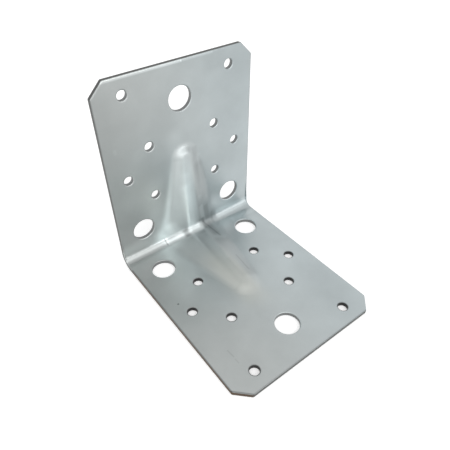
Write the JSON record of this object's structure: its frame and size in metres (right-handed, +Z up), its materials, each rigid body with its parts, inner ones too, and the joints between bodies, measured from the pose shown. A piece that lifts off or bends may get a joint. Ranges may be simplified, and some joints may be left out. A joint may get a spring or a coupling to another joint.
{
  "type": "corner brace bracket",
  "caption": "Right-angle bracket of galvanised steel sheet with nail and bolt holes, cut-off corners and a stiffening rib pressed across its fold.",
  "frame": {"origin": "middle of the base: mid width, midway along the lying leg, at its underside", "axes": "+Z up along the standing leg, -Y along the lying leg away from the fold, X across the width"},
  "size_m": [0.09, 0.109, 0.109],
  "materials": {
    "galvanised_steel": "satin zinc coating, lightly mottled"
  },
  "bodies": {
    "root": {"bracket": "galvanised_steel"}
  },
  "joints": []
}
